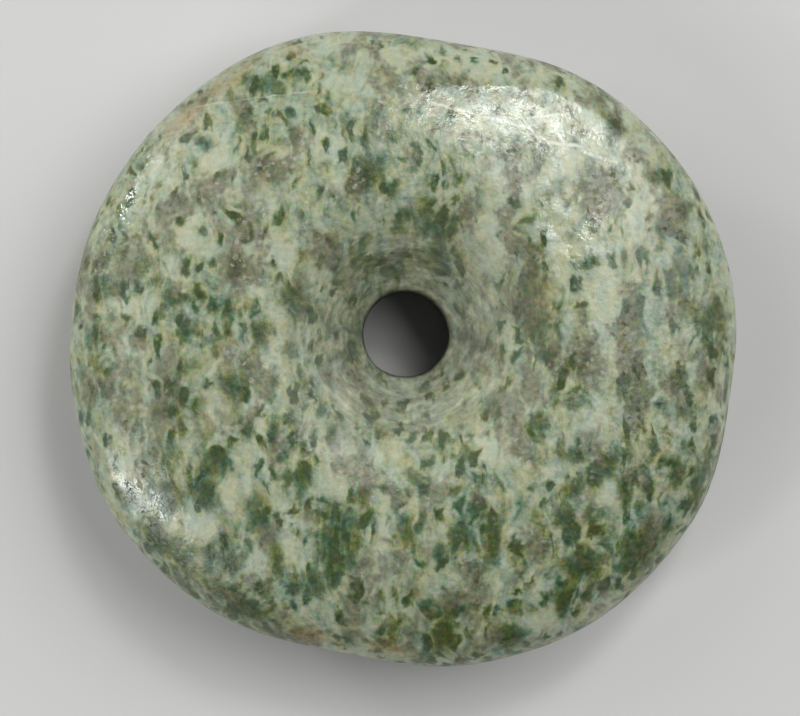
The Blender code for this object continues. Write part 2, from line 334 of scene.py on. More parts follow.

# %% [markdown]
# ## The landmarks of this stone
#
# A noise pattern gives the right kind of stone, but every real stone has spots that one would know it
# by. The largest are written down here, as ellipses on the top face. They don't draw the spots:
# each only tips the noise towards a dark clot, a pale patch or a smoky heart, and the noise gives it its
# ragged edge. They are kept as values on the mesh's points, which the material reads.
#
# Each mark is x and y of its middle, half its width, half its length, its lean in degrees to the left,
# and its strength, with lengths in millimetres.

# %% Dark clots
DARK_CLOTS = (
    (-10.0, 18.6, 1.5, 0.6, 0, 0.9),
    (-7.9, 19.3, 0.9, 0.5, 0, 0.7),
    (-11.3, 16.3, 0.7, 0.9, 0, 0.7),
    (-14.7, 14.7, 0.6, 1.4, 70, 0.7),
    (-4.0, 16.2, 0.6, 1.0, 0, 0.6),
    (-1.9, 16.2, 0.4, 1.4, 0, 0.6),
    (-2.6, 12.4, 1.4, 1.2, 0, 0.9),
    (-0.6, 11.0, 0.7, 0.7, 0, 0.7),
    (-11.7, 5.6, 0.9, 1.1, 0, 0.9),
    (-18.1, 5.0, 0.7, 1.2, 0, 0.6),
    (-21.3, 4.2, 0.8, 0.8, 0, 0.6),
    (-20.8, 6.6, 0.9, 1.1, 0, 0.5),
    (-16.4, 3.0, 0.9, 1.0, 0, 0.7),
    (-12.0, 2.8, 1.1, 0.9, 0, 0.7),
    (-15.6, 1.4, 1.0, 1.0, 0, 0.6),
    (-9.9, 0.9, 0.8, 1.4, 0, 1.0),
    (-7.4, 3.4, 0.8, 1.7, 0, 0.9),
    (-12.8, 9.8, 0.35, 1.2, 0, 0.7),
    (1.8, 8.9, 1.0, 2.6, 75, 0.8),
    (-1.6, 5.8, 0.6, 2.4, 75, 0.8),
    (-3.6, 1.4, 0.7, 2.2, 0, 0.7),
    (14.8, 15.4, 0.7, 1.1, 0, 1.0),
    (18.2, 12.1, 1.1, 0.5, 0, 0.9),
    (18.6, 8.1, 0.8, 0.8, 0, 0.8),
    (11.0, 11.2, 0.6, 1.6, -50, 0.7),
    (16.3, 2.6, 0.8, 1.3, 0, 0.8),
    (12.8, 1.8, 0.4, 0.9, 0, 0.8),
    (21.8, 1.2, 1.1, 1.3, 0, 0.8),
    (19.7, 4.8, 1.0, 1.6, 0, 0.9),
    (9.8, -5.4, 0.9, 1.1, 0, 1.0),
    (9.6, -8.0, 0.5, 0.9, 0, 0.6),
    (1.2, -9.4, 0.7, 1.1, 0, 0.7),
    (9.2, 3.9, 1.0, 2.2, 0, 1.0),
    (9.6, 1.6, 1.2, 2.0, 0, 1.1),
    (16.9, 6.5, 0.4, 0.5, 0, 0.6),
    (-13.9, -10.3, 0.9, 1.2, 15, 1.1),
    (-13.2, -8.1, 1.0, 1.0, 0, 0.9),
    (-14.4, -4.0, 0.7, 0.9, 0, 0.7),
    (-12.0, -2.6, 1.0, 0.9, 0, 0.8),
    (-11.0, -5.8, 0.7, 0.7, 0, 0.8),
    (-9.2, -5.7, 0.5, 1.1, 0, 0.8),
    (-12.8, -15.2, 1.2, 0.9, 0, 1.0),
    (-8.8, -15.2, 0.6, 1.7, 10, 1.0),
    (-6.9, -16.6, 1.3, 1.0, 0, 1.1),
    (-10.2, -11.6, 0.8, 1.6, 0, 0.9),
    (-17.2, -7.8, 0.8, 1.2, 0, 0.6),
    (-4.3, -13.9, 1.6, 2.0, -10, 0.9),
    (-17.4, -13.3, 0.8, 1.7, 40, 0.9),
    (-19.8, -10.3, 0.8, 0.9, 30, 0.8),
    (-11.3, -18.3, 0.7, 1.7, 70, 0.9),
    (-7.3, -9.2, 1.2, 0.6, 0, 0.7),
    (-2.9, -10.6, 0.6, 0.6, 0, 0.7),
    (11.6, -12.4, 0.6, 1.3, 10, 1.2),
    (13.0, -12.0, 0.4, 0.6, 0, 0.8),
    (12.8, -15.2, 1.3, 0.8, 0, 1.0),
    (16.3, -14.6, 1.4, 1.6, -20, 1.1),
    (14.0, -8.5, 0.7, 2.6, -52, 0.9),
    (11.0, -7.3, 1.1, 0.5, 0, 0.7),
    (12.2, -3.6, 0.9, 0.7, 0, 0.8),
    (12.0, -1.5, 0.9, 0.7, 0, 0.7),
    (10.6, -3.8, 0.4, 0.9, 0, 0.7),
    (16.1, -3.7, 0.8, 0.7, 0, 0.8),
    (19.4, -2.3, 0.7, 0.8, 0, 0.9),
    (20.2, -4.4, 0.9, 0.5, 0, 0.9),
    (17.5, -6.8, 0.5, 1.0, 0, 0.8),
    (20.3, -7.0, 0.6, 0.8, 0, 0.7),
    (21.0, -9.5, 0.6, 2.3, -18, 1.1),
    (19.3, -9.0, 0.5, 1.2, 0, 0.9),
    (0.3, -12.8, 0.8, 1.0, 0, 0.9),
    (2.4, -14.4, 0.5, 0.5, 0, 0.8),
    (1.7, -18.2, 0.45, 0.45, 0, 0.9),
    (3.8, -18.6, 1.1, 0.5, 0, 0.8),
    (3.0, -20.6, 0.8, 1.1, 0, 0.9),
    (7.4, -20.5, 1.2, 0.9, 0, 1.1),
    (11.2, -18.2, 0.4, 1.5, 0, 1.0),
    (8.4, -18.4, 1.0, 0.6, 0, 0.7),
    (4.2, -13.0, 1.1, 1.0, 0, 0.7),
    (6.4, -13.6, 0.5, 1.6, 0, 0.7),
    (15.6, -10.4, 0.5, 1.2, 0, 0.7),
    (19.6, 7.4, 0.7, 1.0, 0, 0.6),
    (20.6, 2.4, 0.8, 1.2, 0, 0.7),
    (2.6, 6.4, 1.8, 0.9, 0, 0.7),
    (4.0, -5.0, 1.0, 0.8, 0, 0.6),
    (12.6, 0.2, 0.9, 1.1, 0, 0.8),
    (-17.0, -10.4, 0.9, 1.2, 40, 0.8),
    (-15.6, -14.3, 1.2, 0.8, -40, 0.9),
    (-12.6, -17.2, 1.2, 0.7, -30, 0.8),
    (-9.9, -17.0, 0.8, 0.8, 0, 0.7),
    (-18.4, -10.9, 0.7, 0.9, 30, 0.5),
    (9.8, 13.6, 0.5, 0.7, 0, 0.4),
)
print("dark clots", len(DARK_CLOTS))

# %% Pale patches and streaks
PALE_PATCHES = (
    (-13.0, 12.3, 1.2, 1.9, 0, 0.9),
    (-14.5, 8.4, 2.0, 1.5, 0, 1.0),
    (-9.9, 6.6, 0.5, 1.1, 0, 0.8),
    (-5.6, 14.4, 1.3, 1.0, 0, 1.0),
    (-4.8, 12.0, 0.6, 1.2, 0, 0.6),
    (5.4, 19.9, 0.9, 2.4, 80, 1.0),
    (-11.6, 7.5, 0.5, 1.9, 60, 1.0),
    (-15.9, 5.0, 0.7, 1.1, 15, 0.9),
    (-19.6, 3.0, 1.4, 0.6, 0, 0.8),
    (-7.2, 13.7, 1.0, 0.6, 0, 0.8),
    (-8.1, 7.0, 0.6, 1.4, 0, 0.6),
    (-2.8, 18.6, 2.0, 0.7, 0, 0.7),
    (14.0, 3.1, 0.9, 3.2, 0, 0.9),
    (16.2, 7.6, 0.4, 2.4, 0, 0.9),
    (11.2, 6.4, 0.6, 2.2, 0, 0.8),
    (16.6, 14.2, 1.3, 1.0, 20, 0.9),
    (17.6, 10.4, 0.9, 0.8, 0, 0.7),
    (18.0, 3.2, 0.9, 1.0, 0, 0.7),
    (5.6, 15.2, 2.6, 0.8, 10, 0.8),
    (11.7, 13.4, 0.9, 0.8, 0, 0.8),
    (6.6, 9.1, 1.1, 1.4, 0, 1.0),
    (-13.2, -4.4, 0.5, 1.9, 5, 0.9),
    (-10.0, -5.2, 0.4, 2.6, 0, 0.8),
    (-14.6, -12.6, 1.7, 0.9, 0, 0.6),
    (-12.2, -10.6, 0.4, 1.3, 0, 0.8),
    (-4.9, -9.6, 1.2, 1.0, -30, 0.9),
    (-4.2, -7.6, 1.5, 0.8, 0, 0.6),
    (-8.0, -13.4, 0.45, 2.4, 5, 0.9),
    (-10.2, -15.3, 0.6, 1.0, 0, 0.9),
    (-19.7, -1.4, 0.4, 2.4, -8, 0.9),
    (-1.0, -7.3, 1.4, 0.8, 0, 0.8),
    (-3.6, -3.0, 1.3, 1.6, 0, 0.7),
    (-1.4, -13.0, 0.4, 2.2, 0, 0.8),
    (13.8, -4.6, 0.8, 1.6, -15, 0.6),
    (4.0, -16.6, 1.0, 0.9, 0, 0.7),
    (9.6, -16.4, 0.8, 1.1, 0, 0.8),
    (10.6, -8.7, 1.3, 0.4, 0, 0.8),
    (14.4, -10.3, 0.6, 1.0, -30, 0.8),
    (6.5, -7.0, 0.9, 0.9, 0, 0.7),
    (1.8, -13.6, 0.6, 1.6, 0, 0.8),
    (10.2, -19.6, 1.7, 0.6, -10, 0.9),
    (22.5, -3.2, 0.7, 1.6, 0, 0.9),
    (1.5, -4.2, 2.2, 0.9, -20, 0.7),
    (14.0, -18.4, 0.5, 1.2, -55, 0.8),
    (12.6, 17.3, 0.7, 2.2, 37, 1.1),
    (16.0, 17.0, 0.8, 1.2, 40, 0.9),
    # These four along the top of the rim are partly pale stone and partly painted light, lightening the rim
    # where the lamps leave it dark.
    (-3.9, 21.2, 0.8, 2.6, 82, 0.9),
    (2.2, 20.6, 0.6, 1.8, 96, 0.8),
    (7.0, 20.0, 1.0, 2.2, 70, 1.1),
    (-0.4, 20.3, 2.4, 0.9, 0, 1.1),
    (10.9, 7.9, 0.7, 2.3, 0, 1.0),
    (13.0, 6.9, 1.6, 0.7, 0, 0.8),
    (-12.0, 11.0, 0.9, 0.8, 0, 0.6),
    (7.0, 7.6, 0.8, 1.4, 0, 0.8),
)
print("pale patches", len(PALE_PATCHES))

# %% Smoky hearts, and iron stains from the ground it lay in
SMOKY_HEARTS = (
    (-9.8, 8.8, 1.6, 1.2, 0, 0.7),
    (-16.6, 9.8, 1.5, 0.8, 0, 0.6),
    (8.2, 11.6, 1.4, 1.0, 0, 0.8),
    (-7.8, 15.0, 1.0, 0.9, 0, 0.7),
    (-9.4, 12.3, 0.8, 1.0, 0, 0.6),
    (-4.8, 7.2, 1.4, 1.0, 0, 0.8),
    (14.6, 10.8, 1.5, 1.6, 0, 1.0),
    (9.2, 13.8, 2.0, 0.9, 0, 0.9),
    (4.4, 14.6, 1.0, 0.8, 0, 0.7),
    (19.4, 9.6, 0.9, 1.4, 0, 0.7),
    (2.2, 18.7, 1.6, 0.5, 8, 0.4),
    (18.0, 5.2, 1.4, 0.8, 0, 0.6),
    (4.9, -15.6, 1.1, 0.6, 0, 0.5),
    (4.6, -17.6, 1.4, 0.8, 0, 0.6),
    (16.6, -1.4, 1.0, 0.8, 0, 0.6),
    (13.4, -15.2, 1.6, 0.6, 0, 0.7),
)
IRON_STAINS = (
    (-15.4, 16.3, 0.6, 1.6, -48, 1.0),
    (-12.8, 18.6, 0.5, 2.6, -52, 0.7),
    (-7.8, 21.0, 0.5, 1.2, 70, 0.6),
    (9.7, 3.7, 0.8, 1.8, 0, 0.35),
    (-6.6, -20.4, 0.5, 1.4, 80, 0.8),
    (-1.2, -21.2, 0.4, 1.0, 80, 0.7),
)
print("smoky hearts", len(SMOKY_HEARTS), "and iron stains", len(IRON_STAINS))

# %% [markdown]
# Where hands and thread rubbed it, the stone took a polish: on the ground flats and along the high
# shoulders. A few rough spots glint instead, because their small facets face the light one by one.

# %% Polished places
POLISHED = (
    (8.0, 16.6, 2.8, 8.4, 80, 1.0),
    (-19.1, 12.2, 0.5, 4.4, -29, 1.0),
    (-18.6, -10.2, 0.9, 3.4, 48, 1.0),
    (-1.4, 21.3, 0.6, 2.0, 86, 0.8),
    (22.7, 5.2, 0.6, 2.4, 10, 0.8),
)
print("polished places", len(POLISHED))

# %% Rough spots that glint
GLINTING = (
    (12.3, 7.6, 1.6, 2.2, 10, 1.0),
    (10.0, 9.0, 1.0, 1.8, 0, 0.7),
    (-19.7, 9.9, 0.7, 1.6, -15, 1.0),
    (-20.9, 0.4, 0.5, 0.8, 0, 1.0),
    (-18.2, -14.0, 0.5, 0.5, 0, 1.0),
    (16.4, -12.5, 0.8, 0.8, 0, 1.0),
    (7.4, -20.8, 0.6, 0.5, 0, 1.0),
)
print("glinting spots", len(GLINTING))

# %% Painted shade: the stone is coloured a little darker on the lower side of the whorl, towards -Y
SHADED_SIDE = (5.0 * MM, 13.0 * MM)         # where the change begins and ends, towards -Y
SHADED_SIDE_STRENGTH = 0.17
stone_points = points.reshape(-1, 3)
painted_side_shade = SHADED_SIDE_STRENGTH * rise(-stone_points[:, 1], *SHADED_SIDE)
print("darkened a little on", int((painted_side_shade > 0).sum()), "of", len(stone_points), "points")

# %% How strongly each point of the mesh lies in a set of marks
MARK_FALL = 0.7                             # a mark fades as exp(-0.7 r^3), where r is 1 on its ellipse
on_top = rise(stone_points[:, 2], *TOP_FACE)


def marked(marks):
    """From 0 outside every mark of a set to about 1 in the middle of a strong one."""
    total = np.zeros(len(stone_points))
    for x, y, half_width, half_length, lean, strength in marks:
        turn = math.radians(lean)
        dx, dy = stone_points[:, 0] / MM - x, stone_points[:, 1] / MM - y
        across = (dx * math.cos(turn) + dy * math.sin(turn)) / half_width
        lengthwise = (dy * math.cos(turn) - dx * math.sin(turn)) / half_length
        total = np.maximum(total, strength * np.exp(-MARK_FALL * np.hypot(across, lengthwise) ** 3))
    return total * on_top


LANDMARKS = {
    # Painted shade: the clot marks also carry the darker lower side, added here.
    "clot": marked(DARK_CLOTS) - marked(PALE_PATCHES) + painted_side_shade,
    "smoke": marked(SMOKY_HEARTS),
    "iron": marked(IRON_STAINS),
    "polish": marked(POLISHED),
    "glint": marked(GLINTING),
}
print("sets of marks:", len(LANDMARKS))

# %% Keep the landmarks on the mesh, as one value for each point
CLEARLY = 0.3                               # a value that can be seen in the stone
for name, values in LANDMARKS.items():
    kept = whorl.data.attributes.new(name + "_marks", "FLOAT", "POINT")
    kept.data.foreach_set("value", values.astype(np.float32))
    print(name, "marks reach", int((np.abs(values) > CLEARLY).sum()), "points")

# %% [markdown]
# ## The stone: spotted serpentinite, ground and worn
#
# The whorl is cut from serpentinite, a soft green rock. Dark green clots and smoky, glittering patches lie
# in a pale matrix that runs from cream to mint, and all of it is drawn out one way, the way the rock was
# squeezed. A picture wrapped on the surface would stretch at the rim and stop in the bore. Solid patterns
# in object space run through the stone like the real grain, so every side and the bore agree.
#
# The coordinates are turned into millimetres first. Every scale below is then a number of features for
# each millimetre, and every length is in millimetres.

# %% Start the material
stone = bpy.data.materials.new("spotted serpentinite, hand ground")
stone.use_nodes = True
rock = stone.node_tree
shader = rock.nodes["Principled BSDF"]
print("material:", stone.name)

# %% Coordinates in millimetres
PER_METRE = 1.0 / MM
place = add_node(rock, "TexCoord").outputs["Object"]
in_mm = add_node(rock, "VectorMath", {"operation": "SCALE"}, _0=place, Scale=PER_METRE).outputs[0]
print("scale of the coordinates:", round(PER_METRE), "to the metre")

# %% [markdown]
# Noise is a sum of layers, each twice as fine as the one before. Detail says how many finer layers are
# added, and Roughness how strong each is beside the one before it. Four mixes do for most of the stone.

# %% Mixes of noise, and settings and inputs that many nodes share
SMOOTH_MIX = {"Detail": 1.0, "Roughness": 0.5}
SOFT_MIX = {"Detail": 2.0, "Roughness": 0.5}
LIVELY_MIX = {"Detail": 2.0, "Roughness": 0.6}
RICH_MIX = {"Detail": 3.0, "Roughness": 0.65}
EASED = {"interpolation_type": "SMOOTHSTEP"}        # a MapRange that starts and ends gently
COLOURS = {"data_type": "RGBA"}                     # a Mix of two colours
OVERLAY = {"data_type": "RGBA", "blend_type": "OVERLAY"}
ADD = {"operation": "ADD"}
SUBTRACT = {"operation": "SUBTRACT"}
MULTIPLY = {"operation": "MULTIPLY"}
MULTIPLY_ADD = {"operation": "MULTIPLY_ADD"}        # the first times the second, and then plus the third
MAXIMUM = {"operation": "MAXIMUM"}


def ramp(zero, one):
    """Inputs of a MapRange that gives 0 at the first value and 1 at the second, whichever is higher."""
    return {"From_Min": zero, "From_Max": one}


def giving(low, high):
    """Inputs of a MapRange that gives values from low to high, instead of from 0 to 1."""
    return {"To_Min": low, "To_Max": high}


print("the richest mix has", round(RICH_MIX["Detail"]), "finer layers")

# %% [markdown]
# Rock that was squeezed while it was hot flowed unevenly, so its grain wanders. Noise gives three values
# for each point. With a half taken off, they push the coordinates to and fro, and every pattern that is
# laid on the pushed coordinates wanders with them. The outlines of the grains and the scratches are made
# uneven in the same way.

# %% Let the grain wander, and draw it out along Y
HALF = 0.5                                  # the middle value of a noise
MIDDLE = (HALF, HALF, HALF)
WANDER_PER_MM = 0.30                        # slow bends, about 3 mm long
WANDER = (2.2, 2.2, 2.2)                    # in millimetres, from one end of the noise to the other
GRAIN_STRETCH = (1.0, 0.60, 0.75)


def pushed(place, per_mm, mix, reach):
    """A place pushed to and fro by noise, by half of the reach at most."""
    push = add_node(rock, "TexNoise", Vector=place, Scale=per_mm, **mix).outputs[1]
    push = add_node(rock, "VectorMath", SUBTRACT, _0=push, _1=MIDDLE).outputs[0]
    return add_node(rock, "VectorMath", MULTIPLY_ADD, _0=push, _1=reach, _2=place).outputs[0]


wandered = pushed(in_mm, WANDER_PER_MM, SOFT_MIX, WANDER)
grain = add_node(rock, "VectorMath", MULTIPLY, _0=wandered, _1=GRAIN_STRETCH).outputs[0]
print("grains are", round(1 / GRAIN_STRETCH[1], 2), "times as long along Y as across")

# %% [markdown]
# ### Where each mineral lies
#
# Rounded grains about a millimetre wide are packed like cobbles, with paler stone in the seams between
# them. Voronoi cells give the grains, and each cell's own random colour says how dark its grain is. The
# distance to the nearest cell edge makes the seams, and the distance to the cell's middle rounds it off.
# Finer noise pushes their outlines about first, so that no two grains look alike.

# %% Push the outlines of the grains about
RAGGED_PER_MM = 1.8
RAGGED = (0.80, 0.80, 0.80)
ragged = pushed(grain, RAGGED_PER_MM, SOFT_MIX, RAGGED)
print("outlines pushed by up to", RAGGED[0] / 2, "mm")

# %% Cobbles: how dark each grain is, and how far every point is from its seams
GRAINS_PER_MM = 0.94
UNEVEN = 0.90                               # 0 would set the grains out in rows
SEAM = 0.44                                 # width of a seam, as a share of a grain
ROUNDED = (0.74, 0.16)                      # from a grain's edge to its middle, as shares of a grain
OWN_RANGE = (0.1, 0.9)                      # of the cells' random values
OWN_DARKNESS = (0.05, 1.0)                  # of the palest grain and of the darkest
cobbles = add_node(rock, "TexVoronoi", Vector=ragged, Scale=GRAINS_PER_MM, Randomness=UNEVEN)
to_the_edge = {"feature": "DISTANCE_TO_EDGE"}
seams = add_node(rock, "TexVoronoi", to_the_edge, Vector=ragged, Scale=GRAINS_PER_MM, Randomness=UNEVEN)
inside = add_node(rock, "MapRange", EASED, Value=seams.outputs["Distance"], **ramp(0.0, SEAM)).outputs[0]
rounded = add_node(rock, "MapRange", Value=cobbles.outputs["Distance"], **ramp(*ROUNDED)).outputs[0]
own_value = add_node(rock, "SeparateXYZ", _0=cobbles.outputs["Color"]).outputs["X"]
own_value = add_node(
    rock, "MapRange", Value=own_value, **ramp(*OWN_RANGE), **giving(*OWN_DARKNESS)
).outputs[0]
cobble = add_node(rock, "Math", MULTIPLY, _0=inside, _1=rounded).outputs[0]
cobble = add_node(rock, "Math", MULTIPLY, _0=cobble, _1=own_value).outputs[0]
print("grains about", round(1 / GRAINS_PER_MM, 2), "mm wide")

# %% Noise: clots of a millimetre, clusters of four, and the fine grain inside them
CLOTS_PER_MM = 1.00
CLUSTERS_PER_MM = 0.26
FINE_PER_MM = 2.3
clots = add_node(rock, "TexNoise", Vector=grain, Scale=CLOTS_PER_MM, **SMOOTH_MIX).outputs[0]
clusters = add_node(rock, "TexNoise", Vector=grain, Scale=CLUSTERS_PER_MM, **LIVELY_MIX).outputs[0]
fine = add_node(rock, "TexNoise", Vector=grain, Scale=FINE_PER_MM, **LIVELY_MIX).outputs[0]
print("clusters about", round(1 / CLUSTERS_PER_MM, 1), "mm wide")

# %% [markdown]
# Thin pale streaks run along the grain. They are the places where slow noise crosses its middle value:
# the distance from that value is zero along a line, and a smooth step turns the line into a soft vein.

# %% Veins
VEIN_STRETCH = (1.0, 0.34, 0.5)
VEINS_PER_MM = 0.55
VEIN_HALF_WIDTH = 0.070                     # in values of the noise, not in millimetres
drawn_out = add_node(rock, "VectorMath", MULTIPLY, _0=wandered, _1=VEIN_STRETCH).outputs[0]
lines = add_node(rock, "TexNoise", Vector=drawn_out, Scale=VEINS_PER_MM, **SMOOTH_MIX).outputs[0]
off_line = add_node(rock, "Math", SUBTRACT, _0=lines, _1=HALF).outputs[0]
off_line = add_node(rock, "Math", {"operation": "ABSOLUTE"}, _0=off_line).outputs[0]
vein = add_node(rock, "MapRange", EASED, Value=off_line, **ramp(VEIN_HALF_WIDTH, 0.0)).outputs[0]
print("veins about", round(1 / VEINS_PER_MM, 1), "mm apart")

# %% Read the landmarks back from the mesh
marks = {
    name: add_node(rock, "Attribute", {"attribute_name": name + "_marks"}).outputs["Fac"]
    for name in LANDMARKS
}
print("landmarks read:", ", ".join(marks))

# %% Weigh all of them into one darkness, broad first and then with the fine grain
# The clot marks bring in the painted shade of the lower side as well.
BROAD_PARTS = ((clots, 0.55), (clusters, 0.68), (cobble, 0.86), (vein, -0.12), (marks["clot"], 0.36))
FINE_PART = 0.42
broad = 0.0
for part, weight in BROAD_PARTS:
    broad = add_node(rock, "Math", MULTIPLY_ADD, _0=part, _1=weight, _2=broad).outputs[0]
shade = add_node(rock, "Math", MULTIPLY_ADD, _0=fine, _1=FINE_PART, _2=broad).outputs[0]
print("parts weighed:", len(BROAD_PARTS) + 1)

# %% [markdown]
# ### The colours of the minerals
#
# The darkness is read in two bands. Below the first lies the bare matrix, above it the mid green of a
# clot, and above the second its dark core. All three lean from warm to cool with one tint, as the iron in
# the rock does. A Mix node keeps its sockets for numbers, vectors and colours side by side: input 0 is the
# share, 6 and 7 are the two colours, and output 2 is the mixed colour.

# %% Cream to mint in the matrix, and the greens of the clots and their cores
TINTS_PER_MM = 0.90
TINT_BAND = (0.36, 0.64)                    # values of the noise, at the warm end and at the cool one
TINTED = {                                  # warm and cool
    "matrix": ("#b0b392", "#a5b29e"),
    "mid green": ("#787f4a", "#678069"),
    "dark green": ("#38490f", "#214a30"),
}
tint = add_node(rock, "TexNoise", Vector=grain, Scale=TINTS_PER_MM, **RICH_MIX).outputs[0]
tint = add_node(rock, "MapRange", Value=tint, **ramp(*TINT_BAND)).outputs[0]
tinted = {
    mineral: add_node(rock, "Mix", COLOURS, _0=tint, _6=linear(warm), _7=linear(cool)).outputs[2]
    for mineral, (warm, cool) in TINTED.items()
}
print("tinted, in turns of about", round(1 / TINTS_PER_MM, 1), "mm:", ", ".join(tinted))

# %% The clots are mid green, with dark cores
CLOT_BAND = (0.615, 1.06)                   # of the darkness
CORE_BAND = (0.885, 1.265)
clot_share = add_node(rock, "MapRange", Value=shade, **ramp(*CLOT_BAND)).outputs[0]
core_share = add_node(rock, "MapRange", Value=shade, **ramp(*CORE_BAND)).outputs[0]
cored = tinted["matrix"]
for share, mineral in ((clot_share, "mid green"), (core_share, "dark green")):
    cored = add_node(rock, "Mix", COLOURS, _0=share, _6=cored, _7=tinted[mineral]).outputs[2]
print("clots from a darkness of", CLOT_BAND[0], "and cores from", CORE_BAND[0])

# %% [markdown]
# Smoky, grey-brown stone fills the hearts of the largest clots and lies in hazes of its own. It is full
# of mica, which comes back further down as glitter.

# %% Smoky hearts and hazes
HEART_BAND = (0.87, 1.13)                   # of the broad darkness, without the fine grain
HEART_MOST = 0.40
HAZES_PER_MM = 0.42
HAZE_BAND = (0.50, 0.64)
MARKED_HAZE = 0.16                          # what a landmark adds to the haze
SMOKE_MOST = 0.66
heart_share = add_node(
    rock, "MapRange", EASED, Value=broad, **ramp(*HEART_BAND), To_Max=HEART_MOST
).outputs[0]
haze = add_node(rock, "TexNoise", Vector=grain, Scale=HAZES_PER_MM, **RICH_MIX).outputs[0]
haze = add_node(rock, "Math", MULTIPLY_ADD, _0=marks["smoke"], _1=MARKED_HAZE, _2=haze).outputs[0]
haze_share = add_node(rock, "MapRange", EASED, Value=haze, **ramp(*HAZE_BAND)).outputs[0]
smoke_part = add_node(rock, "Math", MAXIMUM, _0=haze_share, _1=heart_share).outputs[0]
smoke_part = add_node(rock, "Math", MULTIPLY, _0=smoke_part, _1=SMOKE_MOST).outputs[0]
smoked = add_node(rock, "Mix", COLOURS, _0=smoke_part, _6=cored, _7=linear("#5d5c45")).outputs[2]
print("smoke covers at most", SMOKE_MOST, "of the colour below it")

# %% Iron stains from the ground that it lay in
IRON_MOST = 0.55
iron_part = add_node(rock, "Math", MULTIPLY, _0=marks["iron"], _1=IRON_MOST).outputs[0]
stained = add_node(rock, "Mix", COLOURS, _0=iron_part, _6=smoked, _7=linear("#9a7d4c")).outputs[2]
print("iron covers at most", IRON_MOST)

# %% [markdown]
# Every mineral is itself made of small crystals of slightly different lightness and hue. Real ones are a
# twentieth of a millimetre wide and less, which is finer than a pixel of the render, so they are drawn
# several times as coarse. An overlay leaves the average colour as it is. The dark minerals take more of it.

# %% Crystal grain
CRYSTALS_PER_MM = 2.6
LIGHTNESS_OVERLAY = (0.22, 0.75)            # in the matrix, and in clots and smoke
HUE_OVERLAY = (0.12, 0.50)
crystals = add_node(rock, "TexNoise", Vector=in_mm, Scale=CRYSTALS_PER_MM, **LIVELY_MIX)
dark_part = add_node(rock, "Math", MAXIMUM, _0=clot_share, _1=smoke_part).outputs[0]
coloured = stained
for (least, most), crystal in zip((LIGHTNESS_OVERLAY, HUE_OVERLAY), crystals.outputs):
    overlaid = add_node(rock, "MapRange", Value=dark_part, **giving(least, most)).outputs[0]
    coloured = add_node(rock, "Mix", OVERLAY, _0=overlaid, _6=coloured, _7=crystal).outputs[2]
print("crystals about", round(1 / CRYSTALS_PER_MM, 2), "mm wide")

# %% [markdown]
# ### The drill's rings
#
# The dish was widened with a turning drill and wet sand, which left fine rings round the bore and dulled
# the polish there. A sine of the distance would give perfect circles, like a record. Noise is laid out by
# direction from the bore instead, which changes slowly, and by distance from it, which changes fast, so
# each ring fades in and out along its length. The real rings are finer than a pixel, so these are coarser.

# %% Distance and direction from the bore's axis
IN_PLAN = (1.0, 1.0, 0.0)                   # keeps x and y, and drops the height
off_axis = add_node(rock, "VectorMath", SUBTRACT, _0=in_mm, _1=(*(BORE_AXIS / MM), 0.0)).outputs[0]
in_plan = add_node(rock, "VectorMath", MULTIPLY, _0=off_axis, _1=IN_PLAN).outputs[0]
bore_distance = add_node(rock, "VectorMath", {"operation": "LENGTH"}, _0=in_plan).outputs["Value"]
direction = add_node(rock, "VectorMath", {"operation": "NORMALIZE"}, _0=in_plan).outputs[0]
print("bore axis at", [round(float(c), 2) for c in BORE_AXIS / MM], "mm")

# %% Rings round the bore
RINGS_PER_MM = 2.3
ROUND_THE_BORE = (3.4, 3.4, 3.4)            # how far a ring travels through the noise on its way round
RING_BAND = (9.4, 5.4)                      # the rings come in between these distances from the axis
ring_count = add_node(rock, "Math", MULTIPLY, _0=bore_distance, _1=RINGS_PER_MM).outputs[0]
outward = add_node(rock, "CombineXYZ", Z=ring_count).outputs[0]
ring_place = add_node(
    rock, "VectorMath", MULTIPLY_ADD, _0=direction, _1=ROUND_THE_BORE, _2=outward
).outputs[0]
AS_IT_IS = 1.0                              # the place is counted in rings already
ring_marks = add_node(rock, "TexNoise", Vector=ring_place, Scale=AS_IT_IS, **RICH_MIX).outputs[0]
dish_share = add_node(rock, "MapRange", EASED, Value=bore_distance, **ramp(*RING_BAND)).outputs[0]
print("rings about", round(1 / RINGS_PER_MM, 2), "mm apart")

# %% The dish is duller and greyer than the face
DULLED_MOST = 0.36
dull_part = add_node(rock, "Math", MULTIPLY, _0=dish_share, _1=DULLED_MOST).outputs[0]
dulled = add_node(rock, "Mix", COLOURS, _0=dull_part, _6=coloured, _7=linear("#666756")).outputs[2]
ringed = add_node(rock, "Mix", OVERLAY, _0=dish_share, _6=dulled, _7=ring_marks).outputs[2]
print("the dish is greyed by at most", DULLED_MOST)

# %% Painted shade: the bottom of the dish is coloured a little darker, and the bore nearly black
DISH_SHADE = (6.2, 3.2)                      # distances from the axis, where it begins and is darkest
DISH_SHADE_MOST = 0.22
BORE_SHADE = (3.40, 2.95)
BORE_SHADE_MOST = 0.9
dish_painted_shade = add_node(
    rock, "MapRange", Value=bore_distance, **ramp(*DISH_SHADE), To_Max=DISH_SHADE_MOST
).outputs[0]
bore_painted_shade = add_node(
    rock, "MapRange", EASED, Value=bore_distance, **ramp(*BORE_SHADE), To_Max=BORE_SHADE_MOST
).outputs[0]
painted_shade = add_node(rock, "Math", MAXIMUM, _0=dish_painted_shade, _1=bore_painted_shade).outputs[0]
darkened = add_node(rock, "Mix", COLOURS, _0=painted_shade, _6=ringed, _7=linear("#1f2119")).outputs[2]
print("dirt covers at most", DISH_SHADE_MOST, "of the dish and", BORE_SHADE_MOST, "of the bore")

